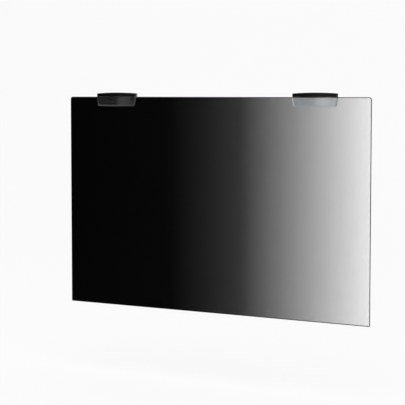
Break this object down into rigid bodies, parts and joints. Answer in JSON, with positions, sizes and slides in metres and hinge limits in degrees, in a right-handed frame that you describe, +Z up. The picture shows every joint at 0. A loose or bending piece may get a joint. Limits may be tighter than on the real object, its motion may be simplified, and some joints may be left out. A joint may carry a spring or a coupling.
{
  "type": "monitor privacy filter",
  "caption": "Flat louvre-film privacy sheet for a desktop monitor, held by clear front tabs and black magnetic rails that drop over steel base bars taped on the monitor's top edge.",
  "frame": {"origin": "centre of the sheet's back face, which lies on the screen", "axes": "+X to the viewer's right, +Y out of the back face into the monitor, +Z up as it hangs"},
  "size_m": [0.518, 0.0152, 0.3305],
  "materials": {
    "louvre_film": "laminated louvre film, low-reflection surface, black at a slant and clear towards one side",
    "tab_plastic": "clear moulded polycarbonate, polished",
    "clear_tape": "clear acrylic tape",
    "rail_plastic": "black moulded plastic, satin gloss",
    "magnet_nickel": "nickel plating",
    "bar_steel": "black coated steel",
    "foam_tape": "dark grey acrylic foam tape"
  },
  "bodies": {
    "root": {"filter_panel": "louvre_film", "left_tab": "tab_plastic", "left_tab_tape": "clear_tape", "left_rail": "rail_plastic", "left_magnet_1": "magnet_nickel", "left_magnet_2": "magnet_nickel", "left_magnet_3": "magnet_nickel", "left_base_bar": "bar_steel", "left_base_tape": "foam_tape", "right_tab": "tab_plastic", "right_tab_tape": "clear_tape", "right_rail": "rail_plastic", "right_magnet_1": "magnet_nickel", "right_magnet_2": "magnet_nickel", "right_magnet_3": "magnet_nickel", "right_base_bar": "bar_steel", "right_base_tape": "foam_tape"}
  },
  "joints": []
}
